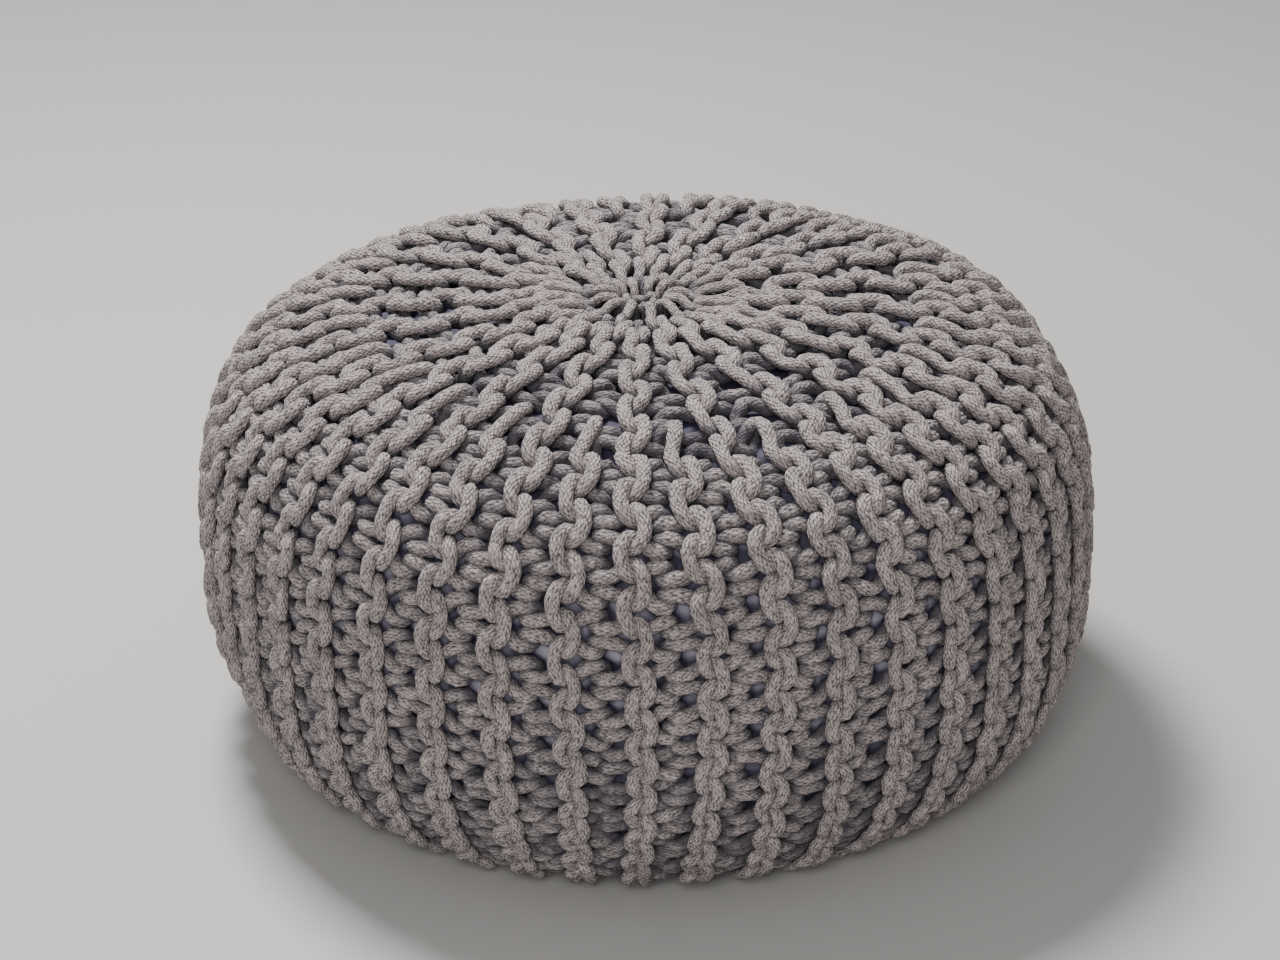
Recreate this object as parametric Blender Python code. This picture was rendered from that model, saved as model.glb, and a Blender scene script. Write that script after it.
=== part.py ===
"""A round knitted pouf: a garter-stitch cover of thick cotton cord, drawn shut at both
ends with a gathering cord, over a filled cloth bag.

Metres, +Z up. The origin is on the floor under the middle of the pouf, and -Y is its
front. A place on the surface is given by its azimuth around +Z, counted from +X, and
by its run: the distance along the surface from the middle of the top end.
"""

import math

import bmesh
import bpy
import numpy as np

# Form of the pouf, over the tops of the knitted ridges
GIRTH_RADIUS = 0.250  # half the width at the widest level
GIRTH_HEIGHT = 0.096  # height of that level above the floor
DOME_RISE = 0.1585  # from the widest level up to the crown
DOME_FLATNESS = 5.2  # exponent on the radius: more of it keeps the crown flat further out
DOME_SHOULDER = 3.4  # exponent on the height: more of it squares the shoulder
DIP_DEPTH = 0.003  # how far the gathering draws the middle of the top down
DIP_RADIUS = 0.055
FOOT_RADIUS = 0.184  # flat disc that stands on the floor

# Soft dents (depth over 0) and swellings (under 0), so that the filling looks hand-packed
DENT_COLUMNS = ("azimuth_deg", "height", "spread", "depth")
DENTS = (
    (203, 0.042, 0.050, 0.0040),
    (168, 0.214, 0.045, -0.0015),
    (105, 0.243, 0.075, 0.0030),
    (31, 0.232, 0.050, -0.0028),
    (5, 0.203, 0.050, 0.0030),
    (330, 0.040, 0.045, -0.0015),
    (150, 0.120, 0.075, 0.0030),
    (62, 0.100, 0.070, 0.0035),
    (238, 0.190, 0.060, -0.0015),
)
DENT_FREE_HEIGHT = 0.020  # below this the foot keeps its own shape

# Knitted cover
LONG_RIDGES = 24  # ridges that run from end to end, with a short one between each two
FIRST_RIDGE_DEG = -3.2  # azimuth of one long ridge
SHORT_ROW_TURN = 0.160  # run from the middle of either end to where the short rows turn
TURN_BLEND = 0.030  # length over which a short ridge rises
KNIT_THICKNESS = 0.019  # two crossed cords and their slack
FLUTE_DEPTH = 0.0055  # from the top of a ridge down to the valley beside it
FLUTE_FADE = 0.045  # length over which the flutes die out at the ends and at the foot
EYE_RADIUS = 0.011  # opening that the gathering leaves in the middle of each end
EYE_COLUMNS = 4  # mesh columns for each long ridge near the eyes
BODY_COLUMNS = 8  # mesh columns for each long ridge where the short rows run too
LINING_COLUMNS = 2  # mesh columns for each long ridge on the smooth inner wall
END_STEP = 0.028  # distance between rings near the eyes
BODY_STEP = 0.029  # distance between rings over the body
LINING_STEP = 0.042  # distance between rings on smooth walls

# Gathering cords, one in each eye
GATHER_CORD_RADIUS = 0.0042
GATHER_RING_RADIUS = 0.0064  # to the middle of the cord
GATHER_LIFT = 0.0005  # how far the cord's top stands over the top eye's rim
GATHER_FLOOR_GAP = 0.0020  # under the lower gathering cord
GATHER_STEPS, GATHER_SIDES = 16, 8

# Inner bag
FIT_GAP = 0.0006  # between the cover and the bag

PROFILE_SAMPLES = 900

MATERIALS = {
    "cotton_cord": {"colour": (0.40, 0.36, 0.34, 1.0), "roughness": 0.92},
    "bag_cloth": {"colour": (0.20, 0.19, 0.24, 1.0), "roughness": 0.88},
}


def clear_scene():
    for leftover in list(bpy.data.objects):
        bpy.data.objects.remove(leftover, do_unlink=True)


def smooth_step(value, low, high):
    share = min(max((value - low) / (high - low), 0.0), 1.0)
    return share * share * (3.0 - 2.0 * share)


def form_profile():
    """Run, radius and height of the plain form, from the top's middle to the base's middle."""
    crown_radius = np.linspace(0.0, 0.92, PROFILE_SAMPLES)
    crown_height = (1.0 - crown_radius**DOME_FLATNESS) ** (1.0 / DOME_SHOULDER)
    side_height = np.linspace(crown_height[-1], 0.0, PROFILE_SAMPLES)[1:]
    side_radius = (1.0 - side_height**DOME_SHOULDER) ** (1.0 / DOME_FLATNESS)
    turn = np.linspace(0.0, math.pi / 2, PROFILE_SAMPLES)[1:]
    under_radius = FOOT_RADIUS + (GIRTH_RADIUS - FOOT_RADIUS) * np.cos(turn)
    under_height = GIRTH_HEIGHT * (1.0 - np.sin(turn))
    base_radius = np.linspace(FOOT_RADIUS, 0.0, PROFILE_SAMPLES)[1:]

    upper_radius = GIRTH_RADIUS * np.concatenate([crown_radius, side_radius])
    upper_height = DOME_RISE * np.concatenate([crown_height, side_height])
    dip = DIP_DEPTH * np.exp(-((upper_radius / DIP_RADIUS) ** 2))
    radius = np.concatenate([upper_radius, under_radius, base_radius])
    height = np.concatenate(
        [GIRTH_HEIGHT + upper_height - dip, under_height, 0.0 * base_radius]
    )
    steps = np.hypot(np.diff(radius), np.diff(height))
    return np.concatenate([[0.0], np.cumsum(steps)]), radius, height


RUN, RADIUS, HEIGHT = form_profile()
FULL_RUN = float(RUN[-1])
TANGENT_RADIUS = np.gradient(RADIUS, RUN)
TANGENT_HEIGHT = np.gradient(HEIGHT, RUN)


def dent_depth(azimuth, height):
    """How far the hand-packed form lies inside the plain one here."""
    depth = 0.0
    for row in DENTS:
        dent = dict(zip(DENT_COLUMNS, row))
        around = math.radians(dent["azimuth_deg"]) - azimuth
        across = 2.0 * GIRTH_RADIUS * math.sin(around / 2.0)
        away = math.hypot(across, height - dent["height"]) / dent["spread"]
        depth += dent["depth"] * math.exp(-away * away)
    return depth * smooth_step(height, DENT_FREE_HEIGHT, 2.0 * DENT_FREE_HEIGHT)


def flute_depth(azimuth, run):
    """How far the knit lies under its ridge tops: deepest in the valleys between ridges."""
    to_end = min(run, FULL_RUN - run)
    both = smooth_step(to_end, SHORT_ROW_TURN - TURN_BLEND / 2, SHORT_ROW_TURN + TURN_BLEND / 2)
    from_ridge = azimuth - math.radians(FIRST_RIDGE_DEG)
    long_only = 0.5 - 0.5 * math.cos(LONG_RIDGES * from_ridge)
    long_and_short = 0.5 - 0.5 * math.cos(2 * LONG_RIDGES * from_ridge)
    fade = smooth_step(to_end, EYE_RADIUS, EYE_RADIUS + FLUTE_FADE)
    foot_edge = FULL_RUN - FOOT_RADIUS
    fade *= 1.0 - smooth_step(run, foot_edge - FLUTE_FADE, foot_edge - 0.1 * FLUTE_FADE)
    return FLUTE_DEPTH * fade * (long_only + (long_and_short - long_only) * both)


def surface_point(azimuth, run, inset):
    """The point that lies this far inside the hand-packed form."""
    radius = np.interp(run, RUN, RADIUS)
    height = np.interp(run, RUN, HEIGHT)
    outward = -np.interp(run, RUN, TANGENT_HEIGHT)
    upward = np.interp(run, RUN, TANGENT_RADIUS)
    inset = inset + dent_depth(azimuth, height)
    radius = radius - inset * outward
    height = height - inset * upward
    return (radius * math.cos(azimuth), radius * math.sin(azimuth), height)


def runs_between(start, end, step):
    """Evenly spaced runs from start to end, about a step apart, without the end."""
    count = max(1, round((end - start) / step))
    return list(np.linspace(start, end, count, endpoint=False))


def lining_runs():
    """Where the rings of the smooth walls lie, the same in the cover and in the bag."""
    last = FULL_RUN - EYE_RADIUS
    return runs_between(EYE_RADIUS, last, LINING_STEP) + [last]


def add_ring(mesh, points):
    """The corners of one closed ring."""
    return [mesh.verts.new(point) for point in points]


def wall_ring(mesh, run, columns, inset_at):
    """A ring round the pouf at this run, each point as far inside the form as inset_at says."""
    first = math.radians(FIRST_RIDGE_DEG)
    azimuths = [first + math.tau * i / columns for i in range(columns)]
    points = [surface_point(a, run, inset_at(a, run)) for a in azimuths]
    return add_ring(mesh, points)


def bridge_rings(mesh, rings):
    """Walls between neighbouring rings, which start at one azimuth. Where one ring has
    twice the other's corners, every second corner meets one of the other's."""
    for upper, lower in zip(rings, rings[1:]):
        fine, coarse = (upper, lower) if len(upper) >= len(lower) else (lower, upper)
        share = len(fine) // len(coarse)
        for i, here in enumerate(coarse):
            ahead = coarse[(i + 1) % len(coarse)]
            row = [fine[(share * i + j) % len(fine)] for j in range(share + 1)]
            if share == 1:
                mesh.faces.new((here, row[0], row[1], ahead))
            else:
                mesh.faces.new((here, row[0], row[1]))
                mesh.faces.new((here, row[1], ahead))
                mesh.faces.new((ahead, row[1], row[2]))


def finish_object(name, mesh, material, hard_angle_deg):
    """The bmesh as a named object with its material, triangulated and shaded smooth."""
    bmesh.ops.recalc_face_normals(mesh, faces=mesh.faces)
    bmesh.ops.triangulate(mesh, faces=mesh.faces)
    data = bpy.data.meshes.new(name)
    mesh.to_mesh(data)
    mesh.free()
    data.shade_smooth()
    data.set_sharp_from_angle(angle=math.radians(hard_angle_deg))
    data.materials.append(material)
    made = bpy.data.objects.new(name, data)
    bpy.context.collection.objects.link(made)
    return made


def make_material(name):
    values = MATERIALS[name]
    material = bpy.data.materials.new(name)
    material.use_nodes = True
    shader = material.node_tree.nodes["Principled BSDF"]
    shader.inputs["Base Color"].default_value = values["colour"]
    shader.inputs["Roughness"].default_value = values["roughness"]
    shader.inputs["Metallic"].default_value = 0.0
    material.diffuse_color = values["colour"]
    return material


def make_knit_cover(material):
    """The cover: fluted outside, smooth inside, with an eye in the middle of each end."""
    mesh = bmesh.new()
    top_turn = SHORT_ROW_TURN
    base_turn = FULL_RUN - SHORT_ROW_TURN
    last = FULL_RUN - EYE_RADIUS
    rings = []
    for run in runs_between(EYE_RADIUS, top_turn, END_STEP):
        rings.append(wall_ring(mesh, run, LONG_RIDGES * EYE_COLUMNS, flute_depth))
    for run in runs_between(top_turn, base_turn, BODY_STEP):
        rings.append(wall_ring(mesh, run, LONG_RIDGES * BODY_COLUMNS, flute_depth))
    for run in runs_between(base_turn, last, 2 * END_STEP) + [last]:
        rings.append(wall_ring(mesh, run, LONG_RIDGES * EYE_COLUMNS, flute_depth))

    def inner_wall(azimuth, run):
        return KNIT_THICKNESS

    for run in reversed(lining_runs()):
        rings.append(wall_ring(mesh, run, LONG_RIDGES * LINING_COLUMNS, inner_wall))
    bridge_rings(mesh, rings + rings[:1])
    return finish_object("knit_cover", mesh, material, 60)


def make_inner_bag(material):
    """The filled bag: one solid that follows the cover's inner wall."""
    mesh = bmesh.new()

    def bag_wall(azimuth, run):
        return KNIT_THICKNESS + FIT_GAP

    columns = LONG_RIDGES * LINING_COLUMNS
    rings = [wall_ring(mesh, run, columns, bag_wall) for run in lining_runs()]
    bridge_rings(mesh, rings)
    mesh.faces.new(rings[0])
    mesh.faces.new(rings[-1])
    return finish_object("inner_bag", mesh, material, 60)


def make_gather_cord(name, height, material):
    """The drawn-up ring of cord in an eye, which holds that end's stitches together."""
    bpy.ops.mesh.primitive_torus_add(
        major_radius=GATHER_RING_RADIUS,
        minor_radius=GATHER_CORD_RADIUS,
        major_segments=GATHER_STEPS,
        minor_segments=GATHER_SIDES,
        location=(0.0, 0.0, height),
    )
    made = bpy.context.object
    made.name = name
    made.data.name = name
    made.data.shade_smooth()
    made.data.materials.append(material)
    return made


def centre_on_origin(cover, others):
    """Moves every piece sideways, so that the middle of the cover's box is over the origin."""
    points = np.array([corner.co for corner in cover.data.vertices])
    middle = (points.min(axis=0) + points.max(axis=0)) / 2.0
    for piece in [cover] + others:
        piece.location.x -= middle[0]
        piece.location.y -= middle[1]


def main():
    clear_scene()
    cord = make_material("cotton_cord")
    cloth = make_material("bag_cloth")
    cover = make_knit_cover(cord)
    bag = make_inner_bag(cloth)
    top_rim = surface_point(0.0, EYE_RADIUS, 0.0)[2]
    top_cord = make_gather_cord("gather_cord_top", top_rim + GATHER_LIFT - GATHER_CORD_RADIUS, cord)
    base_cord = make_gather_cord("gather_cord_base", GATHER_FLOOR_GAP + GATHER_CORD_RADIUS, cord)
    centre_on_origin(cover, [bag, top_cord, base_cord])


main()
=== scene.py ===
# %% [markdown]
# # A round knitted pouf
#
# The real pouf is a low seat, half a metre across, made from one very thick braided cotton
# cord. The cord is knitted in garter stitch, so the cover is nothing but loops that hang
# in one another, and between the loops shows the cloth of the bag inside.
#
# A picture of knitting could be wrapped round a ball, but up close such loops are flat.
# Here every loop is laid as a piece of cord, so that it shades the ones under it. The
# lesson goes through the form, the stitch, the rows and the bag to the finishes.

import math

import bpy
import numpy as np
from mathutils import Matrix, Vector
from mathutils.kdtree import KDTree


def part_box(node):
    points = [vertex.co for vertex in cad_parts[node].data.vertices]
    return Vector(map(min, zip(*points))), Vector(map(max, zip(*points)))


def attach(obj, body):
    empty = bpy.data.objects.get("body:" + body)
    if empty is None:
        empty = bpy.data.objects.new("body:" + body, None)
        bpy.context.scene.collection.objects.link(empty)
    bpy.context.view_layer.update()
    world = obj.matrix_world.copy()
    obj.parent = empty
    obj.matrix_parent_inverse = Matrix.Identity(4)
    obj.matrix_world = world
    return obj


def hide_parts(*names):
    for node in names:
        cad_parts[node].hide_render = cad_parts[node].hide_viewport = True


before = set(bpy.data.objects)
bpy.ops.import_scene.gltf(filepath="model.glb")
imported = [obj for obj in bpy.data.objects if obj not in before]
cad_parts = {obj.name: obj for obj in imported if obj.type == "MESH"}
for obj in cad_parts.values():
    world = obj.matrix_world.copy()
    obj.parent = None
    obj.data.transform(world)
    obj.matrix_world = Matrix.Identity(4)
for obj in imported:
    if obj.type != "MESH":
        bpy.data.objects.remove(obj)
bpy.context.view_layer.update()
cover_low, cover_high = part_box("knit_cover")
print("the cover is", [round(side, 3) for side in cover_high - cover_low], "m")

# %% [markdown]
# ## The form
#
# The pouf is turned round an upright axis, so one line from the middle of the top to the
# middle of the base says nearly everything. The crown is a flat dome, the side is a
# rounded shoulder, and the underside is a quarter of an ellipse that runs into a flat
# foot. Sizes are shares of the cover's own box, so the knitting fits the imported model.

# %% The line of the form
POUF_HEIGHT = cover_high.z - cover_low.z
GIRTH_RADIUS = 0.5012 * (cover_high.x - cover_low.x)
GIRTH_HEIGHT = 0.375 * POUF_HEIGHT
DOME_RISE = 0.6191 * POUF_HEIGHT
DOME_FLATNESS = 5.2
DOME_SHOULDER = 3.4
CROWN_SHARE = 0.92  # of the radius: beyond it the line is sampled by height
DIP_DEPTH = 0.001
DIP_RADIUS = 0.055
FOOT_RADIUS = 0.736 * GIRTH_RADIUS
PROFILE_SAMPLES = 900


def form_profile():
    """Run, radius and height from the middle of the top to the middle of the base."""
    crown_radius = np.linspace(0.0, CROWN_SHARE, PROFILE_SAMPLES)
    crown_height = (1.0 - crown_radius**DOME_FLATNESS) ** (1.0 / DOME_SHOULDER)
    side_height = np.linspace(crown_height[-1], 0.0, PROFILE_SAMPLES)[1:]
    side_radius = (1.0 - side_height**DOME_SHOULDER) ** (1.0 / DOME_FLATNESS)
    turn = np.linspace(0.0, math.pi / 2, PROFILE_SAMPLES)[1:]
    under_radius = FOOT_RADIUS + (GIRTH_RADIUS - FOOT_RADIUS) * np.cos(turn)
    under_height = GIRTH_HEIGHT * (1.0 - np.sin(turn))
    base_radius = np.linspace(FOOT_RADIUS, 0.0, PROFILE_SAMPLES)[1:]
    upper_radius = GIRTH_RADIUS * np.concatenate([crown_radius, side_radius])
    upper_height = DOME_RISE * np.concatenate([crown_height, side_height])
    dip = DIP_DEPTH * np.exp(-((upper_radius / DIP_RADIUS) ** 2))
    radius = np.concatenate([upper_radius, under_radius, base_radius])
    height = np.concatenate([GIRTH_HEIGHT + upper_height - dip, under_height, 0.0 * base_radius])
    run = np.concatenate([[0.0], np.cumsum(np.hypot(np.diff(radius), np.diff(height)))])
    return run, radius, height


RUN, RADIUS, HEIGHT = form_profile()
FULL_RUN = float(RUN[-1])
OUTWARD = -np.gradient(HEIGHT, RUN)
UPWARD = np.gradient(RADIUS, RUN)
print("from the middle of the top to the middle of the base:", round(FULL_RUN, 3), "m")

# %% [markdown]
# A filling packed by hand leaves soft dents and swellings. Each row of the table is one of
# them: where it lies, how far it spreads and how deep it is (a minus swells out). The same
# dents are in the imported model. Knitting also hangs a little askew, so the place where all
# rows gather lies off the axis and the shift fades towards the shoulder.

# %% Dents and the places on the form
DENTS = (  # azimuth in degrees, height, spread and depth
    (203, 0.042, 0.050, 0.0040),
    (168, 0.214, 0.045, -0.0015),
    (105, 0.243, 0.075, 0.0030),
    (31, 0.232, 0.050, -0.0028),
    (5, 0.203, 0.050, 0.0030),
    (330, 0.040, 0.045, -0.0015),
    (150, 0.120, 0.075, 0.0030),
    (62, 0.100, 0.070, 0.0035),
    (238, 0.190, 0.060, -0.0015),
)
DENT_FREE_HEIGHT = 0.020
GATHER_SHIFT = (-0.0030, 0.0060)
GATHER_SHIFT_FADE = 0.130
gather_low, gather_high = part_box("gather_cord_top")
AXIS_X = (gather_low.x + gather_high.x) / 2
AXIS_Y = (gather_low.y + gather_high.y) / 2


def smooth_step(value, low, high):
    """0 below the low value, 1 above the high one, and an even change between them."""
    share = np.clip((value - low) / (high - low), 0.0, 1.0)
    return share * share * (3.0 - 2.0 * share)


def dent_depth(azimuth, height):
    """How far the hand-packed form lies inside the plain one."""
    depth = 0.0
    for azimuth_deg, level, spread, deepest in DENTS:
        across = 2.0 * GIRTH_RADIUS * np.sin((math.radians(azimuth_deg) - azimuth) / 2.0)
        away = np.hypot(across, height - level) / spread
        depth = depth + deepest * np.exp(-away * away)
    return depth * smooth_step(height, DENT_FREE_HEIGHT, 2.0 * DENT_FREE_HEIGHT)


def surface(azimuth, run, depth):
    """Points that lie this deep under the form, and the outward normals there."""
    radius = np.interp(run, RUN, RADIUS)
    height = np.interp(run, RUN, HEIGHT)
    outward = np.interp(run, RUN, OUTWARD)
    upward = np.interp(run, RUN, UPWARD)
    inset = depth + dent_depth(azimuth, height)
    across = radius - inset * outward
    askew = np.exp(-((run / GATHER_SHIFT_FADE) ** 2))
    along_x, along_y = np.cos(azimuth), np.sin(azimuth)
    x = AXIS_X + GATHER_SHIFT[0] * askew + across * along_x
    y = AXIS_Y + GATHER_SHIFT[1] * askew + across * along_y
    points = np.stack([x, y, height - inset * upward], axis=-1)
    normals = np.stack([outward * along_x, outward * along_y, upward + 0.0 * azimuth], axis=-1)
    return points, normals


print("dents and swellings:", len(DENTS), "the deepest:", 1000 * max(row[-1] for row in DENTS), "mm")

# %% [markdown]
# ## The plan of the knitting
#
# A knitter makes the cover sideways: each row runs from one gathered end to the other, and
# two rows of garter stitch make one ridge. If all rows were full length the cover would be
# a straight tube. So every second ridge stops short of both ends and turns back, and these
# short ridges give the round shape.
#
# A place in the cover is told by two numbers: the stitch, counted along the row from the
# top, and the line, which is -1 in the valley before a ridge, 0 on it and 1 in the valley
# after it. The stitches are long where the cover is stretched over the crown and short
# where it slackens low on the side, which the table of stitch places gives.

# %% Where rows and stitches lie
LONG_RIDGES = 24
WEDGE = math.tau / LONG_RIDGES
FIRST_RIDGE = math.radians(-1.2)
FRONT = math.radians(-90.0)
STITCHES = 22
SHORT_START = 4  # stitches that a short row leaves out at either end
VALLEY_NARROWS = (SHORT_START - 1.3, SHORT_START - 0.3)  # where a short ridge starts beside it
STITCH_PLACES = (  # a stitch, and its share of the way from top to base
    (-1.0, 0.005),
    (0.0, 0.065),
    (2.0, 0.187),
    (4.0, 0.287),
    (6.0, 0.377),
    (8.0, 0.459),
    (10.0, 0.530),
    (12.0, 0.593),
    (14.0, 0.655),
    (16.0, 0.719),
    (18.0, 0.789),
    (20.0, 0.885),
    (22.0, 0.995),
)
PLAN_SAMPLES = 800
PLAN_EVENING = 51  # samples over which the plan is evened out


def stitch_plan():
    """Tables that turn a place counted in stitches into a run along the form."""
    stitches = np.linspace(-1.0, STITCHES, PLAN_SAMPLES)
    places, shares = np.array(STITCH_PLACES).T
    runs = FULL_RUN * np.interp(stitches, places, shares)
    before = 2 * runs[0] - runs[PLAN_EVENING:0:-1]
    after = 2 * runs[-1] - runs[-2:-PLAN_EVENING - 2:-1]
    padded = np.concatenate([before, runs, after])
    even = np.convolve(padded, np.ones(PLAN_EVENING) / PLAN_EVENING, "same")
    return stitches, even[PLAN_EVENING:-PLAN_EVENING]


PLAN_STITCH, PLAN_RUN = stitch_plan()


def stitch_run(stitch):
    """The run at a place counted in stitches: whole numbers are the middles of stitches."""
    return np.interp(stitch, PLAN_STITCH, PLAN_RUN)


def valley_gap(run, long_ridge):
    """Angle from a ridge to the valleys beside it."""
    if not long_ridge:
        return 0.25 * WEDGE + 0.0 * run
    near, far = VALLEY_NARROWS
    to_top = smooth_step(run, stitch_run(near), stitch_run(far))
    last = STITCHES - 1
    to_base = 1.0 - smooth_step(run, stitch_run(last - far), stitch_run(last - near))
    return WEDGE * (0.5 - 0.25 * np.minimum(to_top, to_base))


print("stitches in a long row:", STITCHES, "in a short row:", STITCHES - 2 * SHORT_START)
for stitch in (0, 2, 4, 8, 12, 16):
    print("stitch", stitch, "lies", round(float(stitch_run(stitch)) * 1000), "mm from the middle")

# %% [markdown]
# ## One stitch
#
# Seen from outside, a loop of a knit row starts behind the old row, comes through it to
# the front, climbs to the next ridge, dives under the strand that lies there and ends in
# a head on top. A loop of a purl row is the same with front and back changed over. Each
# table is half a loop, from the strand between two stitches to the head, and the loop is
# the half and its mirror image. Tables are clearer here than drawing, because each number
# is one decision of the knitter: over, under, left or right.

# %% Half loops
CORD_RADIUS = 0.0040
TOP = 0.0  # levels, in metres under the highest cords
UNDER = -0.0070
MIDDLE = -0.0046
LOW_MIDDLE = MIDDLE - 0.0005
BACK = -0.0108
HEAD, LEG, BEND, HIDDEN = 0.98, 1.00, 0.90, 0.80  # how thick the cord is in each place
ALONG, LINE, HOOK, LEVEL, THICK = range(5)  # columns of a loop
KNIT_HALF = (
    (-0.50, -1, -1.10, BACK, HIDDEN),
    (-0.30, -1, -0.95, (MIDDLE + BACK) / 2, HIDDEN),
    (-0.11, -1, -0.30, MIDDLE, LEG),
    (-0.12, -0.7, 0.0, MIDDLE, LEG),
    (-0.17, -0.3, 0.0, (MIDDLE + UNDER) / 2, LEG),
    (-0.24, 0, -0.70, UNDER, LEG),
    (-0.33, 0, -0.25, (UNDER + TOP) / 2, BEND),
    (-0.25, 0, 0.60, TOP, HEAD),
    (0.00, 0, 1.10, TOP, HEAD),
)
PURL_HALF = (
    (-0.50, 0, -1.10, TOP, HEAD),
    (-0.26, 0, -0.62, TOP, HEAD),
    (-0.18, 0, 0.20, (UNDER + TOP) / 2, BEND),
    (-0.17, 0, 0.80, UNDER, LEG),
    (-0.19, 0.35, 0.0, (MIDDLE + UNDER) / 2, LEG),
    (-0.29, 0.75, 0.0, MIDDLE, LEG),
    (-0.35, 1, 0.15, LOW_MIDDLE, LEG),
    (-0.34, 1, 0.75, (MIDDLE + BACK) / 2, HIDDEN),
    (-0.18, 1, 1.10, BACK, HIDDEN),
    (0.00, 1, 1.15, BACK, HIDDEN),
)
MIRRORED = (-1, 1, 1, 1, 1)
ALONG_SCATTER = 0.05
HOOK_SCATTER = 0.20
THICKNESS_SCATTER = 0.06
LEVEL_SCATTER = 0.0009  # metres
LEAN_SCATTER = 0.12  # how far along the ridge a loop's feet lie from its head
scatter = np.random.default_rng(11)


def row_of_loops(half, first, last):
    """Control points of a row of loops, with the columns of a loop."""
    half = np.array(half)
    loop = np.concatenate([half[1:], half[-2::-1] * MIRRORED])
    row = []
    for stitch in range(first, last + 1):
        placed = loop + (stitch, 0, 0, 0, 0)
        placed[:, ALONG] += scatter.uniform(-ALONG_SCATTER, ALONG_SCATTER)
        placed[:, ALONG] += placed[:, LINE] * scatter.uniform(-LEAN_SCATTER, LEAN_SCATTER)
        placed[:, HOOK] *= 1.0 + scatter.uniform(-HOOK_SCATTER, HOOK_SCATTER)
        placed[:, LEVEL] += scatter.uniform(-LEVEL_SCATTER, LEVEL_SCATTER)
        placed[:, THICK] *= 1.0 + scatter.uniform(-THICKNESS_SCATTER, THICKNESS_SCATTER)
        row.append(placed)
    return np.concatenate(row)[:-1]


print("points in half a knit loop:", len(KNIT_HALF), "in half a purl loop:", len(PURL_HALF))

# %% [markdown]
# At the end of a pair of rows the cord turns back. On a short ridge the last strand lies
# on top as a long bar before it dives. At the gathered ends all long ridges meet: every
# second one keeps its bar on top as far as the eye, and the others dive earlier, since
# there is no room for all of them side by side. Ridges are counted round the pouf with the
# short ones between the long ones, so every second long one is every fourth ridge.

# %% The turns at the ends of a pair of rows
SHORT_TURN = (
    (-0.50, 0, -0.85, TOP, HEAD),
    (-0.80, 0, -0.20, TOP, HEAD),
    (-1.10, 0, 0.35, TOP, HEAD),
    (-1.27, 0, -0.10, UNDER / 2, BEND),
    (-1.20, -0.3, -0.70, UNDER, LEG),
    (-0.90, -1.0, -0.60, BACK, HIDDEN),
    (-0.60, -1.0, -0.80, BACK, HIDDEN),
)
EYE_TURN = (
    (-0.40, 0, -0.50, TOP, HEAD),
    (-0.58, 0, 0.0, TOP, LEG),
    (-0.72, 0, 0.0, TOP - 0.001, BEND),
    (-0.80, 0, 0.0, -0.008, LEG),
    (-0.74, -0.5, 0.0, -0.016, HIDDEN),
    (-0.50, -1.0, 0.0, -0.018, HIDDEN),
)
EARLY_TURN = (
    (-0.28, 0, -0.50, TOP, LEG),
    (-0.38, 0, 0.0, -0.003, BEND),
    (-0.48, 0, 0.0, -0.010, LEG),
    (-0.50, -0.3, 0.0, -0.018, HIDDEN),
    (-0.40, -1.0, 0.0, -0.018, HIDDEN),
)
LONG_EVERY, EARLY_EVERY = 2, 4


def is_long(ridge):
    return ridge % LONG_EVERY == 0


def dives_early(ridge):
    return ridge % EARLY_EVERY == 0


def ridge_loop(ridge):
    """One ridge as a closed ring: the knit row down, a turn, the purl row back, a turn."""
    first, turn = SHORT_START, SHORT_TURN
    if is_long(ridge):
        first, turn = 0, EARLY_TURN if dives_early(ridge) else EYE_TURN
    last = STITCHES - 1 - first
    down = row_of_loops(KNIT_HALF, first, last)
    back = row_of_loops(PURL_HALF, first, last)[::-1]
    top_turn = np.array(turn) + (first, 0, 0, 0, 0)
    base_turn = (np.array(turn) * MIRRORED + (last, 0, 0, 0, 0))[::-1]
    return np.concatenate([down, base_turn, back, top_turn])


print("points in a short turn:", len(SHORT_TURN), "in a turn at the eye:", len(EYE_TURN))

# %% [markdown]
# No two rows of hand knitting lie quite alike. The plan is bent by slow waves before it is
# laid on the form, so that the ridges wander a little, and the rows lie wider apart in
# front low on the side, where the filling presses outwards. Under the gathered ends the
# loops crowd, so there they reach less far sideways and the lower ones lie deeper.

# %% From the plan to space
HOOK_REACH = 0.0053  # how far heads and strands reach past their line
HOOK_SHARE = 0.36  # and at most this share of the way to the valley
HOOK_SHARE_AT_EYE = 0.26
HEAD_TILT = 0.0036  # the lower end of a head stands proud
SLIM_LOW = 0.89  # low on the side the cord is slimmer
SLIM_RUN = (0.22, 0.33)
CROWN_RUN = (0.16, 0.31)
LEGS_FULLER = 0.06  # below the crown the strands between the ridges lie slack and full
LOW_LEGS_FULLER = 0.02
LOW_RUN = (0.30, 0.38)
LEG_LEVEL = MIDDLE + 0.0001  # strands at this level or lower lie between the ridges
SEAM_ASIDE = 0.10  # the rows meet nearer to the ridge that was knitted first
CROWD_RUN = (0.030, 0.090)
CROWD_DEEPER = 0.80  # under the gather the lower cords are pressed deeper
CROWN_DEEPER = 0.42  # and a little on the crown, where the cover is tight
EARLY_SINK = 0.0020  # and the ridges that dive early lie lower
EARLY_SINK_RUN = (0.030, 0.075)
SPREAD_RUN = (0.15, 0.30)
SPREAD_TOP = -0.025
SPREAD_LOW = 0.085
CALM_RUN = (0.03, 0.12)  # no wandering near the eyes
LEAST_RADIUS = 0.004  # keeps a turn near the axis within bounds
LEAST_WANDER_RADIUS = 0.05
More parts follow.
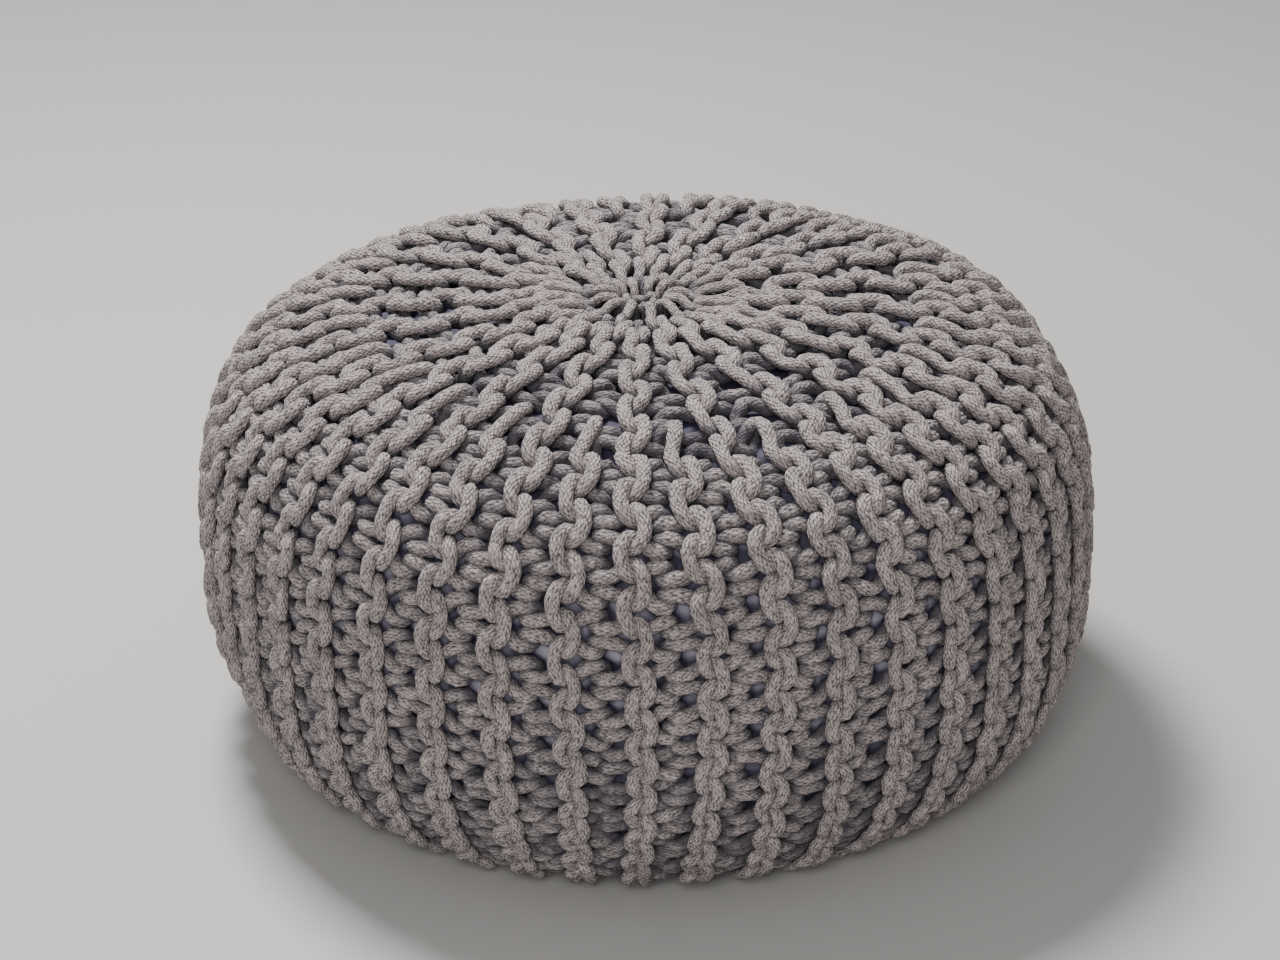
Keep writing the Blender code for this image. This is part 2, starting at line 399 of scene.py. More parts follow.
WANDERS = (  # waves round the pouf, waves down it, phase, metres sideways and along
    (2, 1.0, 0.4, 0.0022, 0.0028),
    (3, 1.5, 2.1, 0.0016, 0.0024),
    (7, 2.5, 4.4, 0.0010, 0.0014),
    (11, 3.5, 1.2, 0.0008, 0.0012),
)
ALONG_PHASE = 1.7  # the waves along the ridges don't swing with those across them


def blend(start, end, share):
    return start + (end - start) * share


def wander(azimuth, run, way):
    """Slow waves sideways or along, in metres."""
    total = 0.0
    for turns, waves_down, phase, sideways, along in WANDERS:
        swing, shift = (along, ALONG_PHASE) if way == "along" else (sideways, 0.0)
        down = math.tau * waves_down * run / FULL_RUN
        total = total + swing * np.sin(turns * azimuth + down + phase + shift)
    return total


def place_on_form(loop, ridge):
    """The control points of one ridge in space, with the columns named in the next cell."""
    stitch, line, hook, level, thick = loop.T
    azimuth = FRONT + FIRST_RIDGE + ridge * WEDGE / 2
    run = stitch_run(stitch)
    calm = smooth_step(run, *CALM_RUN) * smooth_step(FULL_RUN - run, *CALM_RUN)
    run = run + calm * wander(azimuth, run, "along")
    radius = np.interp(run, RUN, RADIUS)
    gap = valley_gap(run, is_long(ridge))
    slimmer = 1.0 - (1.0 - SLIM_LOW) * smooth_step(run, *SLIM_RUN)
    share = blend(HOOK_SHARE_AT_EYE, HOOK_SHARE, smooth_step(radius, *CROWD_RUN))
    reach = np.minimum(HOOK_REACH * slimmer, share * gap * radius)
    on_crown = 1.0 - smooth_step(run, *CROWN_RUN)
    fuller = blend(LEGS_FULLER, LOW_LEGS_FULLER, smooth_step(run, *LOW_RUN))
    thick = np.where(level < LEG_LEVEL, thick * (1.0 + fuller * (1.0 - on_crown)), thick)
    across = line - SEAM_ASIDE * np.abs(line)
    turned = azimuth + across * gap + hook * reach / np.maximum(radius, LEAST_RADIUS)
    spread = blend(SPREAD_TOP, SPREAD_LOW, smooth_step(run, *SPREAD_RUN))
    turned = turned + spread * np.sin(turned - FRONT)
    aside = calm * wander(azimuth, run, "sideways")
    turned = turned + aside / np.maximum(radius, LEAST_WANDER_RADIUS)
    tilt = HEAD_TILT * (stitch - np.round(stitch)) * (level > UNDER / 2)
    crowded = 1.0 - smooth_step(radius, *CROWD_RUN)
    deeper = 1.0 + CROWD_DEEPER * crowded + CROWN_DEEPER * on_crown
    sink = EARLY_SINK * dives_early(ridge) * (1.0 - smooth_step(run, *EARLY_SINK_RUN))
    depth = CORD_RADIUS + sink - (level + tilt) * deeper
    points, normals = surface(turned, run, depth)
    return np.column_stack([points, normals, depth, radius, run, thick * slimmer])


widest = sum(sideways for _, _, _, sideways, _ in WANDERS)
print("a ridge wanders sideways by up to", round(1000 * widest, 1), "mm")

# %% [markdown]
# The control points are joined by a smooth curve, and the curve is cut into short steps of
# the same length. A curve object could do the first, but the settling that follows needs
# even points, and each of them keeps its normal, depth and thickness in further columns.

# %% Curves through the plan
PLACE, NORMAL = slice(0, 3), slice(3, 6)  # columns of a ring's points
DEPTH, FROM_AXIS, DOWN, THICKNESS = 6, 7, 8, 9
LAY_STEP = 0.0042  # distance between the points that are moved while the cord settles
CURVE_SAMPLES = 12


def smooth_ring(points, steps):
    """A closed Catmull-Rom curve through the points, cut at one step or a step for each point."""
    points = np.column_stack([points, steps + 0.0 * points[:, 0]])
    before, after = np.roll(points, 1, 0), np.roll(points, -1, 0)
    beyond = np.roll(points, -2, 0)
    share = np.linspace(0.0, 1.0, CURVE_SAMPLES, endpoint=False)[None, :, None]
    p0, p1, p2, p3 = (p[:, None, :] for p in (before, points, after, beyond))
    curve = 0.5 * (
        2 * p1
        + (p2 - p0) * share
        + (2 * p0 - 5 * p1 + 4 * p2 - p3) * share**2
        + (3 * p1 - p0 - 3 * p2 + p3) * share**3
    ).reshape(-1, points.shape[1])
    closed = np.vstack([curve, curve[:1]])
    pieces = np.linalg.norm(np.diff(closed[:, PLACE], axis=0), axis=1) / closed[1:, -1]
    length = np.concatenate([[0], np.cumsum(pieces)])
    even = np.linspace(0.0, length[-1], int(round(length[-1])), endpoint=False)
    return np.stack([np.interp(even, length, column) for column in closed.T[:-1]], axis=1)


laid = []
for ridge in range(LONG_EVERY * LONG_RIDGES):
    laid.append(smooth_ring(place_on_form(ridge_loop(ridge), ridge), LAY_STEP))
print("rings of cord:", len(laid), "length as laid:", round(sum(map(len, laid)) * LAY_STEP, 1), "m")

# %% [markdown]
# ## Let the cord settle
#
# On the plan the cords cut into each other here and there. On the real pouf they press
# against each other and slide until each has its room. The same is done here with the
# points of all rings: points of different strands that are too close push each other
# away, each cord keeps its length and stiffness, nothing rises above the form or sinks
# into the bag, and a weak pull keeps every point near its place on the plan.

# %% The points of all rings, and which of them are close
LOOK_REACH = 0.0135
SAME_STRAND = 4  # points this near on the same strand don't push
CORD_FLOOR_DEPTH = 0.0190
CROWD_FLOOR_DEPTH = 0.036
THIN_AT_EYE = 0.70
THIN_RUN = (0.010, 0.075)

sizes = np.array([len(ring) for ring in laid])
starts = np.concatenate([[0], np.cumsum(sizes)[:-1]])
every = np.concatenate(laid)
ring_of = np.repeat(np.arange(len(laid)), sizes)
place_in = np.arange(len(every)) - starts[ring_of]
ring_size = sizes[ring_of]
following = starts[ring_of] + (place_in + 1) % ring_size
previous = starts[ring_of] + (place_in - 1) % ring_size
design_depth, from_axis = every[:, DEPTH], every[:, FROM_AXIS]
near_eye = 1.0 - smooth_step(from_axis, *THIN_RUN)
thickness = CORD_RADIUS * every[:, THICKNESS] * (1.0 - (1.0 - THIN_AT_EYE) * near_eye)
floor_depth = blend(CROWD_FLOOR_DEPTH, CORD_FLOOR_DEPTH, smooth_step(from_axis, *CROWD_RUN))


def close_pairs(points):
    """Pairs of points of different strands that are near each other."""
    tree = KDTree(len(points))
    listed = points.tolist()
    for i, point in enumerate(listed):
        tree.insert(point, i)
    tree.balance()
    pairs = []
    for i, point in enumerate(listed):
        pairs += [(i, j) for _, j, _ in tree.find_range(point, LOOK_REACH) if j > i]
    first, second = np.array(pairs).T
    apart = np.abs(place_in[first] - place_in[second])
    apart = np.minimum(apart, ring_size[first] - apart)
    strangers = (ring_of[first] != ring_of[second]) | (apart > SAME_STRAND)
    return first[strangers], second[strangers]


print("points of cord:", len(every), "thickest:", round(2000 * float(thickness.max()), 1), "mm")

# %% Settle
SETTLE_ROUNDS = 60
LOOK_EVERY = 10
CONTACT = 0.97  # how close cords come, as a share of their thickness
PUSH = 0.45
LONGEST_MOVE = 0.0012
KEEP_LENGTH = 0.35
STIFFNESS = 0.07
PULL_HOME = 0.03
PULL_TO_LEVEL = 0.15
TINY = 1e-9  # keeps a division from failing where two points meet


def settle(points, normals):
    """Move the points until the cords lie against each other."""
    home = points.copy()
    count = len(points)
    for step in range(SETTLE_ROUNDS):
        if step % LOOK_EVERY == 0:
            first, second = close_pairs(points)
            room = CONTACT * (thickness[first] + thickness[second])
        apart = points[second] - points[first]
        distance = np.linalg.norm(apart, axis=1)
        overlap = np.clip(room - distance, 0.0, None)
        push = (0.5 * PUSH * overlap / np.maximum(distance, TINY))[:, None] * apart
        moves = [np.bincount(second, p, count) - np.bincount(first, p, count) for p in push.T]
        moves = np.stack(moves, axis=1)
        size = np.linalg.norm(moves, axis=1)[:, None]
        points += moves * np.minimum(1.0, LONGEST_MOVE / np.maximum(size, TINY))
        reach = points[following] - points
        length = np.linalg.norm(reach, axis=1)[:, None]
        pull = 0.5 * KEEP_LENGTH * reach * (length - LAY_STEP) / np.maximum(length, TINY)
        points += pull - pull[previous]
        middle = (points[following] + points[previous]) / 2
        points += STIFFNESS * (middle - points)
        points += PULL_HOME * (home - points)
        risen = np.sum((points - home) * normals, axis=1)
        highest = design_depth - thickness
        lowest = design_depth - floor_depth + thickness
        allowed = np.clip((1.0 - PULL_TO_LEVEL) * risen, lowest, highest)
        points += (allowed - risen)[:, None] * normals
    tight = 1000 * overlap[overlap > 0]
    print("pairs that touch:", len(tight), "mean overlap:", round(float(tight.mean()), 2), "mm")
    print("deepest overlap:", round(float(tight.max()), 2), "mm")
    return points


laid_places, laid_normals = every[:, PLACE], every[:, NORMAL]
settled = settle(laid_places.copy(), laid_normals)
settled_depth = design_depth - np.sum((settled - laid_places) * laid_normals, axis=1)
moved = np.linalg.norm(settled - laid_places, axis=1)
settled_length = np.linalg.norm(settled[following] - settled, axis=1).sum()
print("points moved by", round(float(moved.mean()) * 1000, 2), "mm on average")
print("length of cord after settling:", round(float(settled_length), 1), "m")

# %% [markdown]
# ## A mesh round the cord
#
# Each ring of cord becomes a closed tube. A curve with a bevel would do this too, but the
# braid on the cord has to know how far along the cord and how far round it a point lies.
# So the mesh is written with two UV maps: one in metres along and turns round for the
# braid, and one that lays all faces flat beside each other without overlap, which is
# where the finished colours can be baked.

# %% Directions across the cord
def ring_frames(points, normals):
    """Two unit vectors across the cord at each point, which turn evenly into each other."""
    tangent = np.roll(points, -1, 0) - np.roll(points, 1, 0)
    tangent /= np.linalg.norm(tangent, axis=1)[:, None]
    side = np.cross(tangent[0], normals[0])
    frames = np.empty_like(points)
    frames[0] = side / np.linalg.norm(side)
    for i in range(1, len(points)):
        kept = frames[i - 1] - tangent[i] * (frames[i - 1] @ tangent[i])
        frames[i] = kept / math.sqrt(kept @ kept)
    closing = frames[-1] - tangent[0] * (frames[-1] @ tangent[0])
    closing /= np.linalg.norm(closing)
    twist = math.atan2(np.cross(closing, frames[0]) @ tangent[0], closing @ frames[0])
    angle = twist * np.arange(len(points)) / len(points)
    across = np.cross(tangent, frames)
    return (
        frames * np.cos(angle)[:, None] + across * np.sin(angle)[:, None],
        across * np.cos(angle)[:, None] - frames * np.sin(angle)[:, None],
    )


first_ring = laid[0]
one_way, _ = ring_frames(first_ring[:, PLACE], first_ring[:, NORMAL])
print("pairs of directions on the first ring:", len(one_way))

# %% Tubes
SHOWN_STEP = 0.0036  # length of a face along the cord
HIDDEN_STEP = 0.0078  # and where the cord lies behind others
HIDDEN_DEPTH = (0.0115, 0.0140)
SIDES = 10
KNOBBLY = 0.0816  # how uneven the fibres make the cord, as a share of its thickness
BRAID_REPEAT = 0.0040  # metres along the cord from one strand of the braid to the next
ATLAS_MARGIN = 1
TUBE_THICKNESS = 7  # column of a settled ring, between its depth and its height share


def finished_piece(mesh, uv_maps, depths):
    """Give a mesh its maps and the depth of each vertex, and put it in the scene."""
    for label, corners in uv_maps.items():
        mesh.uv_layers.new(name=label).data.foreach_set("uv", corners.astype(np.float32).ravel())
    carried = mesh.attributes.new("Depth", "FLOAT", "POINT")
    carried.data.foreach_set("value", depths.astype(np.float32))
    mesh.shade_smooth()
    made = bpy.data.objects.new(mesh.name, mesh)
    bpy.context.scene.collection.objects.link(made)
    return made


def face_grid(laps):
    """The lap of the cord and the side of the tube that each face lies in."""
    grids = np.meshgrid(np.arange(laps), np.arange(SIDES), indexing="ij")
    return (grid.ravel() for grid in grids)


def flat_map(laps):
    """Corners of all faces in rows and columns of one sheet, a lap of the cord in each row."""
    columns = math.ceil(math.sqrt(laps / (SIDES + ATLAS_MARGIN)))
    rows = math.ceil(laps / columns)
    lap, side = face_grid(laps)
    left = (lap // rows) * (SIDES + ATLAS_MARGIN) + side
    low = lap % rows
    flat_u = np.stack([left, left + 1, left + 1, left], axis=-1) / (columns * (SIDES + ATLAS_MARGIN))
    flat_v = np.stack([low, low, low + 1, low + 1], axis=-1) / rows
    return np.stack([flat_u, flat_v], axis=-1)


def tube(ring):
    """Corners, depths, faces and braid map of one closed cord."""
    points, normals = ring[:, PLACE], ring[:, NORMAL]
    depth, thick, height_share = ring[:, DEPTH:].T
    turn = np.arange(SIDES) * math.tau / SIDES
    one, other = ring_frames(points, normals)
    circle = np.cos(turn)[None, :, None] * one[:, None] + np.sin(turn)[None, :, None] * other[:, None]
    upright = np.sum(circle * normals[:, None], axis=2)
    circle -= (1.0 - height_share)[:, None, None] * upright[..., None] * normals[:, None]
    uneven = thick[:, None] * (1.0 + scatter.uniform(-KNOBBLY, KNOBBLY, upright.shape))
    corners = (points[:, None] + uneven[..., None] * circle).reshape(-1, 3)
    depths = (depth[:, None] - uneven * upright * height_share[:, None]).ravel()
    count = len(points)
    i, j = face_grid(count)
    i2, j2 = (i + 1) % count, (j + 1) % SIDES
    faces = np.stack([i * SIDES + j, i * SIDES + j2, i2 * SIDES + j2, i2 * SIDES + j], axis=-1)
    steps = np.linalg.norm(np.roll(points, -1, 0) - points, axis=1)
    length = np.concatenate([[0], np.cumsum(steps)])
    length *= round(length[-1] / BRAID_REPEAT) * BRAID_REPEAT / length[-1]
    along = np.stack([length[i], length[i], length[i + 1], length[i + 1]], axis=-1)
    round_it = np.stack([j, j + 1, j + 1, j], axis=-1) / SIDES
    return corners, depths, faces, np.stack([along, round_it], axis=-1)


def cord_mesh(name, rings):
    """One piece of several closed cords."""
    laps = [len(ring) for ring in rings]
    corners, depths, faces, braid = zip(*[tube(ring) for ring in rings])
    first_corners = SIDES * (np.cumsum(laps) - laps)
    faces = np.concatenate([quads + first for quads, first in zip(faces, first_corners)])
    mesh = bpy.data.meshes.new(name)
    mesh.vertices.add(SIDES * sum(laps))
    mesh.vertices.foreach_set("co", np.concatenate(corners).astype(np.float32).ravel())
    mesh.loops.add(faces.size)
    mesh.loops.foreach_set("vertex_index", faces.astype(np.int32).ravel())
    mesh.polygons.add(len(faces))
    mesh.polygons.foreach_set("loop_start", np.arange(0, faces.size, 4, dtype=np.int32))
    mesh.update(calc_edges=True)
    maps = {"Braid": np.concatenate(braid), "OFBake": flat_map(sum(laps))}
    return finished_piece(mesh, maps, np.concatenate(depths))


print("a tube has", SIDES, "sides and a face every", 1000 * SHOWN_STEP, "mm where it shows")

# %% [markdown]
# ## The cover
#
# The settled rings are cut into steps once more, shorter where the cord shows. The cord is
# pressed a little flat, more so where it is stretched over the crown, and it swells and
# thins along its length as a slack braid does. Eight rings go into each of six panels,
# because a mesh of all of them would be slow to handle.

# %% The knitting in six panels
PANELS = 6
PRESSED_AT_EYE = 0.85  # cord stretched over the crown is flatter than it is wide
PRESSED_AT_SIDE = 0.89
PRESSED_RUN = (0.06, 0.19)
LUMP = 0.013  # the cord is a little thicker and thinner along its length
LUMP_WAVES = (90, 141, 187, 260)
SHADE_DEEPER_AT_EYE = 0.10  # painted shade: darker between crowded cords, and low down
SHADE_DEEPER_AT_EYE_RUN = (0.05, 0.11)
SHADE_DEEPER_LOW = 0.25
SHADE_DEEPER_LOW_RUN = (0.33, 0.43)

# the depth that the painted shade reads is made larger near the eye and low on the side, so the cords
# there are painted darker
shade_deepening = 1.0 + SHADE_DEEPER_AT_EYE * (1.0 - smooth_step(from_axis, *SHADE_DEEPER_AT_EYE_RUN))
shade_deepening += SHADE_DEEPER_LOW * smooth_step(every[:, DOWN], *SHADE_DEEPER_LOW_RUN)
pressed = blend(PRESSED_AT_EYE, PRESSED_AT_SIDE, smooth_step(from_axis, *PRESSED_RUN))
mesh_step = blend(SHOWN_STEP, HIDDEN_STEP, smooth_step(settled_depth, *HIDDEN_DEPTH))
settled_rings = np.column_stack([settled, laid_normals, settled_depth * shade_deepening, thickness, pressed])
rings = []
for start, size in zip(starts, sizes):
    part = slice(start, start + size)
    ring = smooth_ring(settled_rings[part], mesh_step[part])
    place = np.arange(len(ring)) * math.tau / len(ring)
    for waves in LUMP_WAVES:
        swelling = LUMP * scatter.normal()
        ring[:, TUBE_THICKNESS] *= 1.0 + swelling * np.sin(place * waves + scatter.uniform(0, math.tau))
    rings.append(ring)

panels = []
share = len(rings) // PANELS
for panel in range(PANELS):
    panels.append(cord_mesh(f"knit_panel_{panel + 1}", rings[panel * share:(panel + 1) * share]))
    print(panels[-1].name, "triangles:", 2 * len(panels[-1].data.polygons))

# %% [markdown]
# ## The drawn-up cords
#
# At the top and at the base a cord of the same sort runs through the last loops of all
# long rows and is pulled tight. Little of it shows, but without it the eye would be empty.
# It is a plain ring that weaves a little, so the same tube serves for it.

# %% Gather cords
GATHER_RADIUS = 0.0078
GATHER_DEPTH = 0.0085
GATHER_POINTS = 24
GATHER_SWAY, GATHER_SWAYS = 0.0006, 3  # how far in and out it runs, and how many times
GATHER_WEAVE, GATHER_WEAVES = 0.0016, 6  # how far up and down, and how many times


def gather_cord(name, run_of):
    """A closed ring of cord that weaves a little up and down through the last loops."""
    turn = np.arange(GATHER_POINTS) * math.tau / GATHER_POINTS
    run = run_of(GATHER_RADIUS + GATHER_SWAY * np.sin(GATHER_SWAYS * turn))
    depth = GATHER_DEPTH + GATHER_WEAVE * np.sin(GATHER_WEAVES * turn)
    points, normals = surface(turn, run, depth)
    thick = np.full(len(turn), THIN_AT_EYE * CORD_RADIUS)
    ring = np.column_stack([points, normals, depth, thick, np.ones(len(turn))])
    return cord_mesh(name, [smooth_ring(ring, SHOWN_STEP)])


top_gather = gather_cord("drawn_up_cord_top", lambda run: run)
base_gather = gather_cord("drawn_up_cord_base", lambda run: FULL_RUN - run)
print(top_gather.name, "and", base_gather.name, "triangles:", 2 * len(top_gather.data.polygons))

# %% [markdown]
# ## The bag
#
# The filling sits in a cloth bag, which shows between the loops. It is pressed outwards by
# the filling and held back by the cords, so it bulges into every gap. The bag is a grid of
# points round the form. Under a cord a point is pushed down to the cord's lower side, and
# between cords the cloth is stretched from support to support and swells a little. A cloth
# simulation could do it as well, but would take minutes against so many cords.

# %% How deep the cloth lies
BAG_COLUMNS = 470
BAG_ROWS = 204
BAG_END_RUN = 0.004
BAG_DEPTHS = (  # the run, and how deep the cloth lies there where no cord holds it down
    (0.00, 0.0260),
    (0.06, 0.0200),
    (0.16, 0.0145),
    (0.20, 0.0095),
    (0.24, 0.0098),
    (0.34, 0.0098),
    (0.38, 0.0135),
    (0.46, 0.0150),
    (0.67, 0.0140),
)
BAG_CLEAR = 0.0003
BAG_LOOK_ROWS, BAG_LOOK_COLUMNS = 2, 24  # a cord can hold down points this far away
BAG_LEAST_RADIUS = 0.01
BAG_SLOPE = 1.0  # how steeply the cloth rises beside a cord
BAG_SLOPE_ROUNDS = 6
BAG_SMOOTH_ROUNDS = 3
BAG_STEP = (FULL_RUN - 2 * BAG_END_RUN) / (BAG_ROWS - 1)
BAG_RUNS = BAG_END_RUN + BAG_STEP * np.arange(BAG_ROWS)


def held_depths():
    """How deep each point of the grid lies at least, under the cords and between them."""
    across = settled - (AXIS_X, AXIS_Y, 0.0)
    azimuth = np.arctan2(across[:, 1], across[:, 0]) % math.tau
    design_run = every[:, DOWN]
    slide_out = np.hypot(across[:, 0], across[:, 1]) - from_axis
    run = design_run + slide_out * np.interp(design_run, RUN, UPWARD)
    run = run - (settled[:, 2] - every[:, 2]) * np.interp(design_run, RUN, OUTWARD)
    row = (run - BAG_END_RUN) / BAG_STEP
    column = azimuth / math.tau * BAG_COLUMNS
    free = np.interp(BAG_RUNS, *np.array(BAG_DEPTHS).T)
    held = np.repeat(free[:, None], BAG_COLUMNS, axis=1)
    column_width = math.tau / BAG_COLUMNS * np.maximum(from_axis, BAG_LEAST_RADIUS)
    for up in range(-BAG_LOOK_ROWS, BAG_LOOK_ROWS + 1):
        for side in range(-BAG_LOOK_COLUMNS, BAG_LOOK_COLUMNS + 1):
            i = np.round(row).astype(int) + up
            j = np.round(column).astype(int) + side
            away = np.hypot((i - row) * BAG_STEP, (j - column) * column_width)
            inside = (away < thickness) & (i >= 0) & (i < BAG_ROWS)
            half_cord = np.sqrt(np.clip(thickness**2 - away**2, 0, None))
            under = settled_depth + half_cord + BAG_CLEAR
            np.maximum.at(held, (i[inside], j[inside] % BAG_COLUMNS), under[inside])
    return held


def stretched(held):
    """The cloth rises beside a cord no more steeply than it can, and is then evened out."""
    column_width = np.interp(BAG_RUNS, RUN, RADIUS)[:, None] * math.tau / BAG_COLUMNS
    cloth = held.copy()
    for _ in range(BAG_SLOPE_ROUNDS):
        beside = np.maximum(np.roll(cloth, 1, 1), np.roll(cloth, -1, 1)) - BAG_SLOPE * column_width
        cloth = np.maximum(cloth, beside)
        cloth[1:] = np.maximum(cloth[1:], cloth[:-1] - BAG_SLOPE * BAG_STEP)
        cloth[:-1] = np.maximum(cloth[:-1], cloth[1:] - BAG_SLOPE * BAG_STEP)
    for _ in range(BAG_SMOOTH_ROUNDS):
        middle = (np.roll(cloth, 1, 1) + np.roll(cloth, -1, 1)) / 2
        middle[1:-1] = (middle[1:-1] + (cloth[2:] + cloth[:-2]) / 2) / 2
        cloth = np.maximum(held, (cloth + middle) / 2)
    return cloth


bag_depths = stretched(held_depths())
print("the cloth lies", round(1000 * float(bag_depths.mean()), 1), "mm deep on average")

# %% The bag's mesh
def bag_mesh(name, depths):
    """The bag as a closed mesh with a map for the weave and one for baking."""
    azimuths = np.arange(BAG_COLUMNS) * math.tau / BAG_COLUMNS
    corners = [surface(azimuths, run + 0 * azimuths, depth)[0] for run, depth in zip(BAG_RUNS, depths)]
    ends = [corners[0].mean(axis=0)[None], corners[-1].mean(axis=0)[None]]
    corners = np.concatenate(corners + ends)
    top, base, last = len(corners) - 2, len(corners) - 1, (BAG_ROWS - 1) * BAG_COLUMNS
    faces, flat = [], []
    for i in range(BAG_ROWS - 1):
        upper, lower = i * BAG_COLUMNS, (i + 1) * BAG_COLUMNS
        for j in range(BAG_COLUMNS):
            j2 = (j + 1) % BAG_COLUMNS
            faces.append((upper + j, lower + j, lower + j2, upper + j2))
            flat += [(j, i + 1), (j, i + 2), (j + 1, i + 2), (j + 1, i + 1)]
    for j in range(BAG_COLUMNS):
        j2 = (j + 1) % BAG_COLUMNS
        faces += [(top, j, j2), (base, last + j2, last + j)]
        flat += [(j + 0.5, 0), (j, 1), (j + 1, 1)]
        flat += [(j + 0.5, BAG_ROWS + 1), (j + 1, BAG_ROWS), (j, BAG_ROWS)]
    mesh = bpy.data.meshes.new(name)
    mesh.from_pydata(corners.tolist(), [], faces)
    flat = np.array(flat) / (BAG_COLUMNS, BAG_ROWS + 1)
    maps = {"Weave": flat * (math.tau * GIRTH_RADIUS, FULL_RUN), "OFBake": flat}
    end_depths = [depths[0].mean(), depths[-1].mean()]
    return finished_piece(mesh, maps, np.concatenate([depths.ravel(), end_depths]))


bag = bag_mesh("filled_bag", bag_depths)
print(bag.name, "triangles:", sum(len(face.vertices) - 2 for face in bag.data.polygons))

# %% [markdown]
# ## The finish of the cord
#
# The cord is a braid: strands wind round it to the left and to the right and pass over
# and under each other. On the map of the cord these are two families of slanting lines,
# and where they cross, one of them is on top. A picture of a braid would blur up close,
# so the strands are worked out from sine waves. First come short helpers, each of which
# adds a node, feeds it and returns its output.

# %% Node helpers
def value_of(links, socket, source):
    """Feed a socket with a number, a colour or another socket."""
    if isinstance(source, bpy.types.NodeSocket):
        links.new(source, socket)
    else:
        socket.default_value = source


def add_node(tree, kind, sources, **settings):
    """Add a node of this kind, feed its inputs and give its outputs."""
    node = tree.nodes.new("ShaderNode" + kind)
    for label, value in settings.items():
        setattr(node, label, value)
    for label, source in sources.items():
        value_of(tree.links, node.inputs[label], source)
    return node.outputs


def add_math(tree, operation, one, other=0.0):
    return add_node(tree, "Math", {0: one, 1: other}, operation=operation)[0]


def add_sum(tree, total, *parts):
    """A value and more of them on top, each of those with its weight."""
    for value, weight in parts:
        total = add_math(tree, "ADD", total, add_math(tree, "MULTIPLY", value, weight))
    return total


def add_mix(tree, share, one, other):
    return add_node(tree, "Mix", {0: share, 6: one, 7: other}, data_type="RGBA")[2]


def add_product(tree, colour, other):
    return add_node(tree, "VectorMath", {0: colour, 1: other}, operation="MULTIPLY")[0]


def add_noise(tree, vector, scale, detail=2.0, rough=0.5):
    sources = {"Vector": vector, "Scale": scale, "Detail": detail, "Roughness": rough}
    return add_node(tree, "TexNoise", sources)["Fac"]


def add_ramp(tree, value, low, high, to_low=0.0, to_high=1.0):
    sources = {"Value": value, "From Min": low, "From Max": high, "To Min": to_low, "To Max": to_high}
    return add_node(tree, "MapRange", sources, interpolation_type="SMOOTHSTEP")["Result"]


def add_bump(tree, height, strength, distance):
    sources = {"Height": height, "Strength": strength, "Distance": distance}
    return add_node(tree, "Bump", sources)["Normal"]


def add_map(tree, name):
    return add_node(tree, "UVMap", {}, uv_map=name)["UV"]


def add_place(tree):
    return add_node(tree, "TexCoord", {})["Object"]


def add_group(tree, group, **values):
    """Place a group in a material: cord_map feeds the input that is named Cord Map."""
    sources = {label.replace("_", " ").title(): source for label, source in values.items()}
    return add_node(tree, "Group", sources, node_tree=group)


def new_group(name, inputs, outputs):
    """An empty shader group with named sockets, and its inside ends."""
    group = bpy.data.node_groups.new(name, "ShaderNodeTree")
    for kind, label in inputs:
        group.interface.new_socket(label, in_out="INPUT", socket_type="NodeSocket" + kind)
    for kind, label in outputs:
        group.interface.new_socket(label, in_out="OUTPUT", socket_type="NodeSocket" + kind)
    return group, group.nodes.new("NodeGroupInput").outputs, group.nodes.new("NodeGroupOutput").inputs


def new_material(name):
    material = bpy.data.materials.new(name)
    material.use_nodes = True
    return material, material.node_tree, material.node_tree.nodes["Principled BSDF"]


print("node helpers are ready")

# %% [markdown]
# A sine wave across each family of strands gives a rounded strand. The sign of the two
# waves' product says which family is on top, and each strand tapers where it dives under
# the next. Long thin noise along the strand is its fibres. The strands of a real cord don't
# run evenly, so the place along the cord is first shifted to and fro.

# %% The braid as a group
STRAND_SLIP = 0.006  # metres
STRAND_ROUND, STRAND_TAPER = 0.55, 0.30  # powers: less of them makes a fuller strand
CROSSING_EDGE = 0.05
FIBRES_ALONG, FIBRES_ACROSS = 1.3, 5.0  # scales of the fibre noise
OTHER_FIBRES = 5.0  # takes the other family's noise from another place


